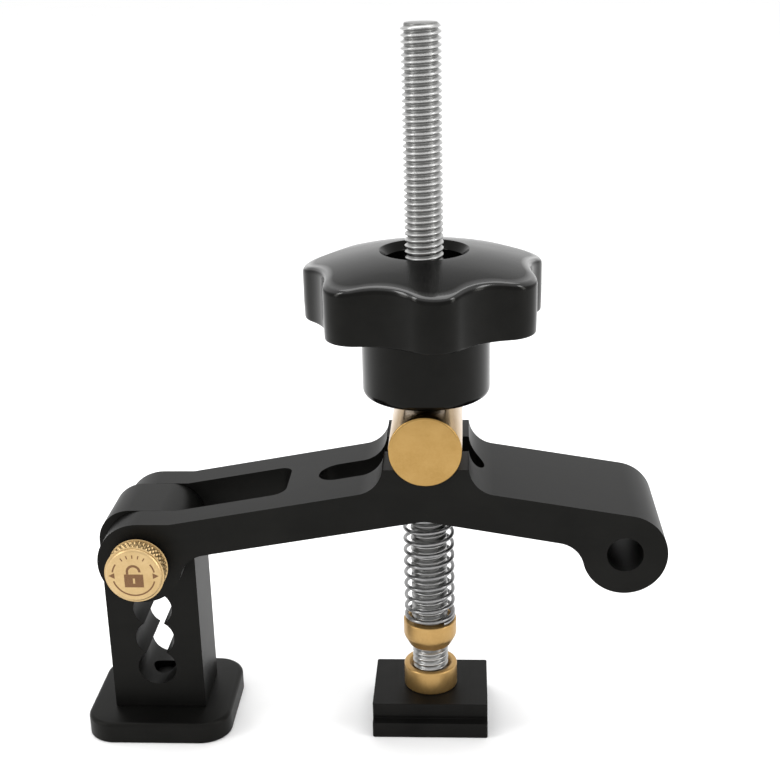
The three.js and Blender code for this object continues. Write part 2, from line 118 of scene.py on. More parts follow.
class Nodes:
    """The node tree of one material, with the few kinds of node its finish needs."""

    def __init__(self, name: str) -> None:
        """Makes the material and keeps its shader.

        Args:
            name: the material's name.
        """
        self.material = bpy.data.materials.new(name)
        self.material.use_nodes = True
        self.tree = self.material.node_tree
        self.shader = self.tree.nodes["Principled BSDF"]

    def add(
        self,
        kind: str,
        settings: dict[str, object] | None = None,
        inputs: dict[str | int, object] | None = None,
    ) -> bpy.types.Node:
        """Adds a node of any type.

        Args:
            kind: the node's type name.
            settings: properties to set first; "stops" places a colour ramp's two stops.
            inputs: a value, socket or Signal for each input socket.

        Returns:
            The new node.
        """
        node = self.tree.nodes.new(kind)
        for name, value in (settings or {}).items():
            if name == "stops":
                self._fill_ramp(node, value)
            else:
                setattr(node, name, value)
        for key, value in (inputs or {}).items():
            self.feed(node.inputs[key], value)
        return node

    def feed(self, socket: bpy.types.NodeSocket, value: object) -> None:
        """Links a Signal or socket to an input, or sets the input's value.

        Args:
            socket: the input.
            value: a Signal, a socket or a plain value.
        """
        if isinstance(value, Signal):
            self.tree.links.new(value.socket, socket)
        elif isinstance(value, bpy.types.NodeSocket):
            self.tree.links.new(value, socket)
        else:
            socket.default_value = value

    @staticmethod
    def _fill_ramp(node: bpy.types.Node, stops: Point) -> None:
        """Sets where a ramp's black and white stops are."""
        for element, position in zip(node.color_ramp.elements, stops):
            element.position = position

    def maths(self, operation: str, a: Signal | float, b: Signal | float = 0.0) -> Signal:
        """Adds a Math node and returns its result."""
        node = self.add("ShaderNodeMath", {"operation": operation}, {0: a, 1: b})
        return Signal(self, node.outputs[0])

    def place(self) -> bpy.types.NodeSocket:
        """The point on the piece, in its own coordinates."""
        return self.add("ShaderNodeTexCoord").outputs["Object"]

    def stretched(self, scale: Sequence[float]) -> bpy.types.NodeSocket:
        """The point on the piece with each coordinate multiplied.

        Args:
            scale: what multiplies x, y and z.

        Returns:
            The stretched point.
        """
        inputs = {0: self.place(), 1: tuple(scale)}
        node = self.add("ShaderNodeVectorMath", {"operation": "MULTIPLY"}, inputs)
        return node.outputs["Vector"]

    def noise(
        self,
        grains_per_mm: float,
        detail: float = 3.0,
        roughness: float = 0.5,
        vector: bpy.types.NodeSocket | None = None,
    ) -> Signal:
        """Fractal noise over the piece.

        Args:
            grains_per_mm: how many features fit in a millimetre.
            detail: octaves.
            roughness: how strong the finer octaves are.
            vector: where to sample, if not at the piece's own coordinates.

        Returns:
            Values around one half.
        """
        inputs = {
            "Vector": vector or self.place(),
            "Scale": grains_per_mm / MM,
            "Detail": detail,
            "Roughness": roughness,
        }
        return Signal(self, self.add("ShaderNodeTexNoise", None, inputs).outputs["Fac"])

    def ramp(self, factor: Signal, span: Point) -> Signal:
        """Spreads a signal between two levels over the whole range from 0 to 1."""
        node = self.add("ShaderNodeValToRGB", {"stops": span}, {"Fac": factor})
        return Signal(self, node.outputs["Color"])

    def blend(self, factor: Signal, a: Colour, b: Colour) -> bpy.types.NodeSocket:
        """Mixes two colours, from a at 0 to b at 1."""
        inputs = {0: factor, 6: (*a, 1.0), 7: (*b, 1.0)}
        return self.add("ShaderNodeMix", {"data_type": "RGBA"}, inputs).outputs[2]

    def painted(self, name: str) -> Signal:
        """A value stored at the piece's own vertices."""
        node = self.add("ShaderNodeAttribute", {"attribute_name": name})
        return Signal(self, node.outputs["Fac"])

    def from_axis(self, axis: Axis, centre: Sequence[float]) -> tuple[Signal, Signal]:
        """Distance from a turned piece's axis, and the height along it, in metres.

        Args:
            axis: the axis's direction.
            centre: a point on the axis, in millimetres.

        Returns:
            The distance and the height.
        """
        split = self.add("ShaderNodeSeparateXYZ", None, {0: self.place()})
        x, y, z = (Signal(self, s) for s in split.outputs)
        if axis is Axis.Z:
            across, height = y - centre[1] * MM, z
        else:
            across, height = z - centre[2] * MM, y
        out = x - centre[0] * MM
        return self.maths("SQRT", out * out + across * across), height

    def lathe_lines(self, axis: Axis, centre: Sequence[float], lines_per_mm: float) -> Signal:
        """Fine tool lines round a turned piece, on its faces and its sides.

        Args:
            axis: the axis's direction.
            centre: a point on the axis, in millimetres.
            lines_per_mm: how fine the lines are.

        Returns:
            The lines' height.
        """
        radius, height = self.from_axis(axis, centre)
        join = self.add("ShaderNodeCombineXYZ", None, {0: radius, 1: height, 2: 0.0})
        return self.noise(lines_per_mm, 2.0, 0.6, join.outputs[0])

    def bump(self, height: Signal, depth_mm: float, normal: object = None) -> bpy.types.NodeSocket:
        """A Bump node.

        Args:
            height: 0 to 1 over the surface.
            depth_mm: how deep that range is.
            normal: an earlier bump to add to.

        Returns:
            The bent normal.
        """
        inputs: dict[str | int, object] = {
            "Strength": 1.0, "Distance": depth_mm * MM, "Height": height
        }
        if normal is not None:
            inputs["Normal"] = normal
        return self.add("ShaderNodeBump", None, inputs).outputs["Normal"]

    def shade(self, **inputs: object) -> bpy.types.Material:
        """Feeds the shader.

        Args:
            **inputs: a value for each socket, with underscores for the spaces in its name.

        Returns:
            The material.
        """
        for name, value in inputs.items():
            key = name.replace("_", " ")
            self.feed(self.shader.inputs[key], (*value, 1.0) if _is_colour(value) else value)
        return self.material


def _is_colour(value: object) -> bool:
    """Whether a value is a colour triple."""
    return isinstance(value, tuple) and len(value) == 3


@dataclass(frozen=True)
class Layer:
    """One layer of fractal noise, and how much it does to a finish."""

    per_mm: float = 1.0
    octaves: float = 3.0
    sharpness: float = 0.6
    tone: float = 0.0
    roughen: float = 0.0
    depth: float = 0.0
    pull: Corner | None = None

    def signal(self, n: Nodes) -> Signal:
        """Adds the layer's noise to a material."""
        place = n.stretched(self.pull) if self.pull else n.place()
        return n.noise(self.per_mm, self.octaves, self.sharpness, place)


@dataclass(frozen=True)
class Finish:
    """Two colours mottled by layers of noise, which also roughen and dent the surface."""

    name: str
    low: Colour
    high: Colour
    span: Point = (0.36, 0.66)
    gloss: float = 0.3
    high_gloss: float = 0.0
    metal: float = 0.0
    reflection: float = 0.5
    tint: Colour = (1.0, 1.0, 1.0)
    layers: tuple[Layer, ...] = ()

    def shaded(self, n: Nodes) -> list[tuple[Layer, Signal]]:
        """The layers and what each one gives, for a finish to add its own to."""
        return [(layer, layer.signal(n)) for layer in self.layers]

    def own_inputs(self, n: Nodes) -> dict[str, object]:
        """Any further shader inputs that a finish has."""
        return {}

    def material(self) -> bpy.types.Material:
        """Builds the node material.

        Returns:
            The material.
        """
        n = Nodes(self.name)
        pairs = self.shaded(n)
        tones = [signal * layer.tone for layer, signal in pairs if layer.tone]
        roughs = [signal * layer.roughen for layer, signal in pairs if layer.roughen]
        share = n.ramp(reduce(add, tones), self.span)
        if self.high_gloss:
            roughs.append(share * -self.high_gloss)
        inputs = self.own_inputs(n)
        for layer, signal in pairs:
            if layer.depth:
                inputs["Normal"] = n.bump(signal, layer.depth, inputs.get("Normal"))
        return n.shade(
            Base_Color=n.blend(share, self.low, self.high), Metallic=self.metal,
            Roughness=reduce(add, roughs, self.gloss), Specular_IOR_Level=self.reflection,
            Specular_Tint=self.tint, **inputs,
        )


@dataclass(frozen=True)
class AnodisedBlack(Finish):
    """Bead-blasted and black anodised aluminium: a fine grain with a satin sheen."""

    name: str = "black_anodised"
    low: Colour = (0.0016, 0.0016, 0.0015)
    high: Colour = (0.0050, 0.0049, 0.0045)
    span: Point = (0.34, 0.68)
    gloss: float = 0.36
    reflection: float = 0.1
    tint: Colour = SHEEN_TINT
    layers: tuple[Layer, ...] = (
        Layer(0.09, 4.0, 0.55, tone=0.55, roughen=0.05),
        Layer(5.5, tone=0.25, roughen=0.07, depth=0.006),
        Layer(0.35, tone=0.2, pull=(0.12, 1.0, 1.0)),
    )


@dataclass(frozen=True)
class BlackOxide(Finish):
    """Milled steel with a black oxide skin: faint cutter marks under a dull black."""

    name: str = "black_oxide"
    low: Colour = (0.0026, 0.0026, 0.0025)
    high: Colour = (0.0068, 0.0067, 0.0063)
    gloss: float = 0.4
    reflection: float = 0.09
    tint: Colour = SHEEN_TINT
    layers: tuple[Layer, ...] = (
        Layer(4.0, 3.0, 0.65, tone=0.5, roughen=0.1, depth=0.005),
        Layer(0.16, 3.0, 0.5, tone=0.5),
        Layer(1.6, 2.0, 0.5, roughen=0.08, depth=0.004, pull=(1.0, 0.05, 0.4)),
    )


@dataclass(frozen=True)
class Brass(Finish):
    """Turned brass: tool lines round its axis and a faint uneven tarnish."""

    low: Colour = (0.450, 0.284, 0.106)
    high: Colour = (0.392, 0.239, 0.083)
    span: Point = (0.38, 0.64)
    metal: float = 0.85
    axis: Axis = Axis.Z
    centre: Corner = (0.0, 0.0, 0.0)
    lines_per_mm: float = 6.0
    line_depth: float = 0.0016
    layers: tuple[Layer, ...] = (
        Layer(0.22, 4.0, tone=0.65, roughen=0.06),
        Layer(2.2, tone=0.35),
    )

    def shaded(self, n: Nodes) -> list[tuple[Layer, Signal]]:
        """Adds the tool lines."""
        lines = n.lathe_lines(self.axis, self.centre, self.lines_per_mm)
        return [*super().shaded(n), (Layer(roughen=0.07, depth=self.line_depth), lines)]


@dataclass(frozen=True)
class BrightSteel(Finish):
    """Plain bright steel with a drawn or pressed surface."""

    low: Colour = (0.30, 0.30, 0.31)
    high: Colour = (0.50, 0.505, 0.52)
    gloss: float = 0.24
    metal: float = 1.0
    layers: tuple[Layer, ...] = (
        Layer(0.5, 4.0, tone=0.6),
        Layer(6.0, 2.0, tone=0.4, roughen=0.1, depth=0.003),
    )


@dataclass(frozen=True)
class ZincThread(Finish):
    """Zinc plated thread: rolled crests over roots darkened with painted shade, and a little grime.
    """

    name: str = "zinc_thread"
    # low and high span the painted root shade as well as the grime
    low: Colour = (0.165, 0.165, 0.16)
    high: Colour = (0.41, 0.41, 0.405)
    span: Point = (0.18, 0.72)
    gloss: float = 0.34
    high_gloss: float = 0.08
    metal: float = 1.0
    root_radius: float = 3.3
    crest_radius: float = 3.95
    layers: tuple[Layer, ...] = (
        Layer(1.1, 4.0, 0.65, tone=0.4, roughen=0.08),
        Layer(7.0, 2.0, 0.5, depth=0.004),
    )

    def shaded(self, n: Nodes) -> list[tuple[Layer, Signal]]:
        """Adds painted shade, darker towards the thread's root and lighter at its crest.

        Args:
            n: the material's nodes.

        Returns:
            Each layer with what it gives.
        """
        radius, _ = n.from_axis(Axis.Z, (0.0, 0.0, 0.0))
        depth = (self.crest_radius - self.root_radius) * MM
        # painted shade: the base colour darkens from the crest towards the root
        rise = (radius - self.root_radius * MM) * (1.0 / depth)
        return [*super().shaded(n), (Layer(tone=0.8), rise)]


@dataclass(frozen=True)
class MouldedPlastic(Finish):
    """Glossy black moulded plastic, slightly wavy and hazy, with a polished rim."""

    name: str = "moulded_black"
    low: Colour = (0.0012, 0.0012, 0.0011)
    high: Colour = (0.0034, 0.0033, 0.0031)
    span: Point = (0.40, 0.70)
    gloss: float = 0.13
    reflection: float = 0.11
    tint: Colour = SHEEN_TINT
    polish: str = "rim_polish"
    polish_share: float = 0.9
    polish_gloss: float = 0.12
    layers: tuple[Layer, ...] = (
        Layer(0.12, 2.0, 0.4, depth=0.03),
        Layer(0.3, 4.0, 0.65, tone=0.7, roughen=0.07),
        Layer(3.0, tone=0.3, roughen=0.03, depth=0.0012),
    )

    def own_inputs(self, n: Nodes) -> dict[str, object]:
        """The clear polish on the rim."""
        weight = n.painted(self.polish) * self.polish_share
        return {"Coat_Weight": weight, "Coat_Roughness": self.polish_gloss}


@dataclass(frozen=True)
class LaserMark(Finish):
    """The brown, dull mark a laser leaves in brass."""

    name: str = "laser_mark"
    low: Colour = (0.115, 0.052, 0.018)
    high: Colour = (0.20, 0.098, 0.036)
    span: Point = (0.35, 0.68)
    gloss: float = 0.5
    metal: float = 0.35
    layers: tuple[Layer, ...] = (Layer(9.0, tone=1.0, roughen=0.15, depth=0.004),)


@dataclass(frozen=True)
class PaleFloor(Finish):
    """A plain pale studio floor."""

    name: str = "pale_floor"
    low: Colour = (0.93, 0.93, 0.93)
    high: Colour = (0.96, 0.96, 0.96)
    span: Point = (0.0, 1.0)
    gloss: float = 0.85
    reflection: float = 0.1
    layers: tuple[Layer, ...] = (Layer(0.01, 3.0, 0.5, tone=1.0),)


# ------------------------------------------------------------------- shaping


def placed(name: str, data: bpy.types.ID) -> bpy.types.Object:
    """Adds an object to the scene.

    Args:
        name: the object's name.
        data: its mesh, light or camera.

    Returns:
        The object.
    """
    piece = bpy.data.objects.new(name, data)
    bpy.context.scene.collection.objects.link(piece)
    return piece


def rounded(corners: Sequence[Corner], steps: int = 4) -> list[Point]:
    """Softens the corners of a line.

    Args:
        corners: (across, along, setback) triples; the setback is how far from the corner its
            curve starts, and 0 leaves it sharp.
        steps: straight pieces in each curve.

    Returns:
        The softened line's points.
    """
    line: list[Point] = []
    for i, (across, along, setback) in enumerate(corners):
        here = Vector((across, along))
        if setback <= 0.0 or i in (0, len(corners) - 1):
            line.append((across, along))
            continue
        before = (Vector(corners[i - 1][:2]) - here).normalized() * setback + here
        after = (Vector(corners[i + 1][:2]) - here).normalized() * setback + here
        for k in range(steps + 1):
            t = k / steps
            spot = before * (1 - t) ** 2 + here * (2 * t * (1 - t)) + after * t**2
            line.append((spot.x, spot.y))
    return line


class Blank:
    """A mesh being shaped in millimetres, until it is finished as a named piece."""

    def __init__(self) -> None:
        """Starts empty."""
        self.bm = bmesh.new()

    @classmethod
    def from_node(cls, node: str) -> Blank:
        """Copies a CAD node's mesh, merged, with its flat faces whole again.

        Args:
            node: the node's name.

        Returns:
            The blank.
        """
        blank = cls()
        blank.bm.from_mesh(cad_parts[node].data)
        bmesh.ops.scale(blank.bm, vec=(1 / MM,) * 3, verts=blank.bm.verts)
        blank.merge(CAD_WELD)
        bmesh.ops.dissolve_limit(
            blank.bm, angle_limit=math.radians(CAD_FLAT_DEGREES), verts=blank.bm.verts,
            edges=blank.bm.edges, use_dissolve_boundaries=False, delimit={"NORMAL"},
        )
        return blank

    def merge(self, distance: float = 0.001) -> None:
        """Joins vertices closer than a distance."""
        bmesh.ops.remove_doubles(self.bm, verts=self.bm.verts, dist=distance)

    def face_outwards(self) -> None:
        """Turns every face of a closed mesh outwards."""
        bmesh.ops.recalc_face_normals(self.bm, faces=self.bm.faces)

    def spin(
        self,
        line: Sequence[Point],
        axis: Axis,
        centre: Sequence[float] = (0.0, 0.0, 0.0),
        steps: int = 128,
        closed: bool = False,
    ) -> Blank:
        """Turns a line of (radius, height) points into a solid.

        Args:
            line: from axis to axis, or a closed ring of points.
            axis: the axis's direction.
            centre: a point on the axis; only its place across the axis matters.
            steps: faces round the piece.
            closed: joins the line's last point to its first.

        Returns:
            This blank.
        """
        if axis is Axis.Z:
            spots = [(centre[0] + r, centre[1], h) for r, h in line]
        else:
            spots = [(centre[0] + r, h, centre[2]) for r, h in line]
        verts = [self.bm.verts.new(p) for p in spots]
        pairs = list(zip(verts, verts[1:])) + ([(verts[-1], verts[0])] if closed else [])
        edges = [self.bm.edges.new(pair) for pair in pairs]
        self.sweep(verts + edges, FULL_TURN, steps, 0.0, centre, axis.value, True)
        self.merge()
        self.face_outwards()
        return self

    def sweep(
        self,
        geom: list[object],
        angle: float,
        steps: int,
        rise: float = 0.0,
        centre: Sequence[float] = (0.0, 0.0, 0.0),
        axis: Corner = Axis.Z.value,
        join: bool = False,
    ) -> list[object]:
        """Carries edges or faces round an axis, leaving a skin behind them.

        Args:
            geom: what is carried.
            angle: how far round, in radians.
            steps: how many faces it leaves.
            rise: how far it climbs along Z on the way.
            centre: a point on the axis.
            axis: the axis's direction.
            join: joins the last step to the first.

        Returns:
            The geometry at the last step.
        """
        return bmesh.ops.spin(
            self.bm, geom=geom, cent=centre, axis=axis, dvec=(0, 0, rise / steps), angle=angle,
            steps=steps, use_merge=join, use_normal_flip=False, use_duplicate=False,
        )["geom_last"]

    def plate(self, outline: Sequence[Sequence[float]], depth: Sequence[float]) -> None:
        """Extrudes one flat face.

        Args:
            outline: the face's corners, in order.
            depth: how far and which way it is extruded.
        """
        face = self.bm.faces.new([self.bm.verts.new(p) for p in outline])
        out = bmesh.ops.extrude_face_region(self.bm, geom=[face], use_keep_orig=True)["geom"]
        moved = [g for g in out if isinstance(g, bmesh.types.BMVert)]
        bmesh.ops.translate(self.bm, vec=depth, verts=moved)
        self.face_outwards()

    def bevel(
        self, width: float, segments: int, chosen: Callable[[bmesh.types.BMEdge], bool]
    ) -> Blank:
        """Rounds the chosen edges.

        Args:
            width: how far from each edge its rounding starts.
            segments: faces across the rounding.
            chosen: picks the edges.

        Returns:
            This blank.
        """
        edges = [e for e in self.bm.edges if chosen(e)]
        bmesh.ops.bevel(
            self.bm, geom=edges, offset=width, offset_type="OFFSET", affect="EDGES",
            segments=segments, profile=0.5, material=-1, clamp_overlap=True,
        )
        return self

    def reshape(self, move: Callable[[Vector], Vector]) -> Blank:
        """Moves every vertex by a rule.

        Args:
            move: gives a point's new place.

        Returns:
            This blank.
        """
        for vert in self.bm.verts:
            vert.co = move(vert.co)
        return self

    def finish(self, name: str, sharp_degrees: float = 35.0) -> bpy.types.Object:
        """Makes the piece, in metres at the origin, smooth apart from its sharp edges.

        Args:
            name: the piece's name.
            sharp_degrees: edges that turn more than this stay sharp.

        Returns:
            The new object.
        """
        bmesh.ops.scale(self.bm, vec=(MM,) * 3, verts=self.bm.verts)
        limit = math.radians(sharp_degrees)
        for face in self.bm.faces:
            face.smooth = True
        for edge in self.bm.edges:
            edge.smooth = len(edge.link_faces) == 2 and edge.calc_face_angle(0.0) < limit
        mesh = bpy.data.meshes.new(name)
        self.bm.to_mesh(mesh)
        self.bm.free()
        return placed(name, mesh)

    def eased(self, name: str, edge: float, segments: int = 3) -> bpy.types.Object:
        """Finishes a piece that keeps its CAD shape, with its edges softened."""
        return soften(self.finish(name, CAD_SHARP_DEGREES), edge, segments)


def soften(piece: bpy.types.Object, width: float, segments: int = 3) -> bpy.types.Object:
    """Gives a hard-edged piece a small rounded edge that leaves its flats flat.

    Args:
        piece: the object.
        width: the rounding's width in millimetres.
        segments: faces across it.

    Returns:
        The same object.
    """
    edge = piece.modifiers.new("edge", "BEVEL")
    edge.width = width * MM
    edge.segments = segments
    edge.limit_method = "ANGLE"
    edge.angle_limit = math.radians(SOFTEN_ABOVE_DEGREES)
    edge.harden_normals = True
    return piece


def bored(piece: bpy.types.Object, radius: float, low: float, high: float) -> bpy.types.Object:
    """Bores a piece along the Z axis and keeps the result as plain mesh.

    Args:
        piece: the solid that is cut.
        radius: the bore's radius.
        low: where the bore starts.
        high: where it ends.

    Returns:
        The cut piece.
    """
    line = [(0.0, low), (radius, low), (radius, high), (0.0, high)]
    drill = Blank().spin(line, Axis.Z, steps=BORE_SIDES).finish("drill")
    cut = piece.modifiers.new("cut", "BOOLEAN")
    cut.operation = "DIFFERENCE"
    cut.solver = "EXACT"
    cut.object = drill
    graph = bpy.context.evaluated_depsgraph_get()
    mesh = bpy.data.meshes.new_from_object(piece.evaluated_get(graph))
    piece.modifiers.clear()
    piece.data = mesh
    bpy.data.objects.remove(drill)
    return piece


def dress(
    piece: bpy.types.Object, material: bpy.types.Material, body: str, slot: str, *nodes: str
) -> bpy.types.Object:
    """Gives a piece its finish and its place in the frame, and reports it.

    Args:
        piece: the object.
        material: its finish.
        body: the CAD body it moves with.
        slot: the record's material slot; not used.
        *nodes: the CAD nodes it stands for.

    Returns:
        The same object.
    """
    piece.data.materials.clear()
    piece.data.materials.append(material)
    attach(piece, body)
    if nodes:
        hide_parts(*nodes)
    LOG.info("%s rides on %s, %d faces", piece.name, body, len(piece.data.polygons))
    return piece


# -------------------------------------------------------------- sub-assemblies


@dataclass
class SlotNut:
    """The T-section nut that slides in the track."""

    length: float = 25.3
    flange_width: float = 22.4
    flange_height: float = 3.5
    neck_width: float = 19.2
    undercut_top: float = 4.4
    undercut: float = 0.45
    height: float = 7.4
    corner: float = 0.8
    bore_radius: float = 4.03
    bore_floor: float = 1.2
    bore_top: float = 8.4
    edge: float = 0.21

    def build(self) -> bpy.types.Object:
        """Extrudes the section, rounds its upright corners and drills it.

        Returns:
            The nut.
        """
        wide, neck = self.flange_width / 2, self.neck_width / 2
        waist = neck - self.undercut
        half = [
            (wide, 0.0), (wide, self.flange_height), (waist, self.flange_height),
            (waist, self.undercut_top), (neck, self.undercut_top), (neck, self.height),
        ]
        section = half + [(-y, z) for y, z in reversed(half)]
        end = self.length / 2
        blank = Blank()
        blank.plate([(-end, y, z) for y, z in section], (self.length, 0.0, 0.0))
        blank.bevel(self.corner, 4, self._upright_corner)
        nut = blank.finish("slot_nut")
        return soften(bored(nut, self.bore_radius, self.bore_floor, self.bore_top), self.edge)

    def _upright_corner(self, edge: bmesh.types.BMEdge) -> bool:
        """Whether an edge is one of the outer upright corners.

        Args:
            edge: an edge of the extruded section.

        Returns:
            True for an outer upright corner.
        """
        a, b = (v.co for v in edge.verts)
        upright = (a - b).xy.length < NEAR
        at_end = abs(a.x) > self.length / 2 - NEAR
        return upright and at_end and abs(a.y) > self.neck_width / 2 - NEAR

    def dress(self) -> None:
        """Builds the nut in black oxide."""
        dress(self.build(), BlackOxide().material(), "track_nut", "oxide_steel", "track_nut")


@dataclass
class Thread:
    """A right-hand thread wound from one turn of its outline."""

    pitch: float = 1.25
    crest: float = 3.95
    root: float = 3.3
    per_turn: int = 40
    lead_in: float = 1.5
    weld: float = 0.004

    def outline(self, start: float) -> list[Point]:
        """One pitch of the thread, root to root, from shares of its depth and pitch.

        Args:
            start: the height of the first root.

        Returns:
            (radius, height) points.
        """
        shape = [
            (0.0, 0.0), (0.07, 0.13), (0.88, 0.36), (1.0, 0.43),
            (1.0, 0.57), (0.88, 0.64), (0.07, 0.87), (0.0, 1.0),
        ]
        depth = self.crest - self.root
        return [(self.root + depth * d, start + self.pitch * h) for d, h in shape]

    def build(self, blank: Blank, low: float, high: float, chamfer: float) -> None:
        """Winds the thread, cuts it flat at both ends and chamfers them.

        Args:
            blank: the mesh to wind it in.
            low: where the rod starts.
            high: where it ends.
            chamfer: how far the ends taper.
        """
        bm = blank.bm
        start = low - self.lead_in * self.pitch
        verts = [bm.verts.new((r, 0.0, z)) for r, z in self.outline(start)]
        edges = [bm.edges.new(pair) for pair in zip(verts, verts[1:])]
        blank.sweep(verts + edges, FULL_TURN, self.per_turn, self.pitch)
        wound = self.pitch
        while start + wound < high + self.pitch:
            every = bm.verts[:] + bm.edges[:] + bm.faces[:]
            more = bmesh.ops.duplicate(bm, geom=every)["geom"]
            copied = [g for g in more if isinstance(g, bmesh.types.BMVert)]
            bmesh.ops.translate(bm, vec=(0, 0, wound), verts=copied)
            wound *= 2
        blank.merge(self.weld)
        for height, up in ((low, -1.0), (high, 1.0)):
            cut = bmesh.ops.bisect_plane(
                bm, geom=bm.verts[:] + bm.edges[:] + bm.faces[:], dist=0.0005,
                plane_co=(0, 0, height), plane_no=(0, 0, up), clear_outer=True,
            )
            rim = [g for g in cut["geom_cut"] if isinstance(g, bmesh.types.BMEdge)]
            bmesh.ops.contextual_create(bm, geom=rim)
        blank.face_outwards()
        blank.reshape(lambda co: self._tapered(co, low, high, chamfer))

    def _tapered(self, co: Vector, low: float, high: float, chamfer: float) -> Vector:
        """Pulls a point in to the cone at either end of the rod.

        Args:
            co: the point.
            low: where the rod starts.
            high: where it ends.
            chamfer: how far the ends taper.

        Returns:
            The point, or a nearer one on the cone.
        """
        from_end = min(co.z - low, high - co.z)
        limit = self.crest - chamfer + max(from_end, 0.0)
        radius = co.xy.length
        if from_end > chamfer or radius <= limit:
            return co
        return Vector((co.x * limit / radius, co.y * limit / radius, co.z))


@dataclass
class RodStack:
    """The threaded rod, its two brass collars and the spring between seat and arm."""

    rod_low: float = 1.5
    rod_high: float = 152.0
    rod_chamfer: float = 0.75
    bore_radius: float = 4.03
    collar_radius: float = 5.9
    collar_low: float = 7.45
    collar_high: float = 12.8
    collar_foot_edge: float = 0.35
    collar_top_edge: float = 0.45
    collar_mouth: float = 0.75
    mouth_edge: float = 0.12
    seat_radius: float = 5.85
    seat_cone_radius: float = 4.55
    seat_cone_low: float = 17.7
    seat_low: float = 20.1
    seat_high: float = 23.9
    seat_edge: float = 0.35
    seat_bend: float = 0.6
    wire: float = 0.43
    wire_sides: int = 14
    coil_radius: float = 5.18
    spring_low: float = 23.92
    spring_high: float = 51.75
    spring_start: float = -54.0
    closed_turns: float = 1.0
    active_turns: float = 9.3
    steps_per_turn: int = 48
    travel: float = 12.0

    def build_rod(self) -> bpy.types.Object:
        """Winds the rod's thread.

        Returns:
            The rod.
        """
        blank = Blank()
        Thread().build(blank, self.rod_low, self.rod_high, self.rod_chamfer)
        return blank.finish("threaded_shaft", 50.0)

    def build_collar(self) -> bpy.types.Object:
        """Turns the lower collar, with a wide chamfer in the mouth of its bore.

        Returns:
            The collar.
        """
        r, b, z0, z1 = self.collar_radius, self.bore_radius, self.collar_low, self.collar_high
        ring = [
            (b, z0, 0.0), (r, z0, self.collar_foot_edge), (r, z1, self.collar_top_edge),
            (b + self.collar_mouth, z1, self.mouth_edge), (b, z1 - self.collar_mouth, 0.0),
            (b, z0, 0.0),
        ]
        return self._turned("lower_collar", ring)

    def build_seat(self) -> bpy.types.Object:
        """Turns the spring seat: a short cylinder over a cone.

        Returns:
            The seat.
        """
        r, b = self.seat_radius, self.bore_radius
        ring = [
            (b, self.seat_cone_low, 0.0),
            (self.seat_cone_radius, self.seat_cone_low, self.seat_edge),
            (r, self.seat_low, self.seat_bend), (r, self.seat_high, self.seat_edge),
            (b, self.seat_high, 0.0), (b, self.seat_cone_low, 0.0),
        ]
        return self._turned("coned_seat", ring)

    @staticmethod
    def _turned(name: str, ring: Sequence[Corner]) -> bpy.types.Object:
        """Turns a ring of corners, the last of them the first again, round the rod."""
        return Blank().spin(rounded(ring)[:-1], Axis.Z, closed=True).finish(name)

    def build_spring(self) -> bpy.types.Object:
        """Winds the wire: a closed turn, the open turns, a closed turn, with its ends capped.

        Returns:
            The spring.
        """
        blank = Blank()
        bm = blank.bm
        circle = bmesh.ops.create_circle(
            bm, cap_ends=True, segments=self.wire_sides, radius=self.wire
        )
        start = Vector((self.coil_radius, 0.0, self.spring_low + self.wire))
        stand = Matrix.Translation(start) @ Matrix.Rotation(math.radians(90), 4, "X")
        turn = Matrix.Rotation(math.radians(self.spring_start), 4, "Z")
        bmesh.ops.transform(bm, matrix=turn @ stand, verts=circle["verts"])
        closed = 2 * self.wire
        open_rise = self.spring_high - self.spring_low - 3 * closed
        last: list[object] = bm.faces[:]
        for turns, rise in (
            (self.closed_turns, closed), (self.active_turns, open_rise), (self.closed_turns, closed)
        ):
            steps = round(self.steps_per_turn * turns)
            last = blank.sweep(last, FULL_TURN * turns, steps, rise)
        blank.merge()
        blank.face_outwards()
        return blank.finish("coil_spring", 60.0)

    def dress(self) -> None:
        """Builds the stack and gives the spring a mesh of its own."""
        dress(self.build_rod(), ZincThread().material(), "rod", "zinc_steel", "threaded_rod")
        brass = Brass("collar_brass").material()
        dress(self.build_collar(), brass, "rod", "brass", "lock_collar")
        dress(self.build_seat(), brass, "rod", "brass", "spring_seat")
        wire = BrightSteel("spring_wire", (0.18, 0.18, 0.18), (0.31, 0.31, 0.31)).material()
        spring = dress(self.build_spring(), wire, "rod", "spring_steel", "return_spring")
        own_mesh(spring)


@dataclass
class PivotBarrel:
    """The brass cross barrel that carries the arm."""

    radius: float = 7.5
    half_length: float = 15.1
    height: float = 69.3
    edge: float = 0.45
    bore_radius: float = 4.2
    sides: int = 160

    def build(self) -> bpy.types.Object:
        """Turns the barrel and drills it for the rod.

        Returns:
            The barrel.
        """
        r, h = self.radius, self.half_length
        line = rounded([(0, -h, 0), (r, -h, self.edge), (r, h, self.edge), (0, h, 0)], 3)
        centre = (0.0, 0.0, self.height)
        barrel = Blank().spin(line, Axis.Y, centre, self.sides).finish("cross_barrel", 50.0)
        return bored(barrel, self.bore_radius, self.height - 2 * r, self.height + 2 * r)

    def dress(self) -> None:
        """Builds the barrel in polished brass."""
        brass = Brass(
            "barrel_brass", (0.365, 0.228, 0.079), (0.320, 0.194, 0.062), gloss=0.17, metal=1.0,
            axis=Axis.Y, centre=(0.0, 0.0, self.height),
        )
        dress(self.build(), brass.material(), "barrel", "brass", "pivot_barrel")


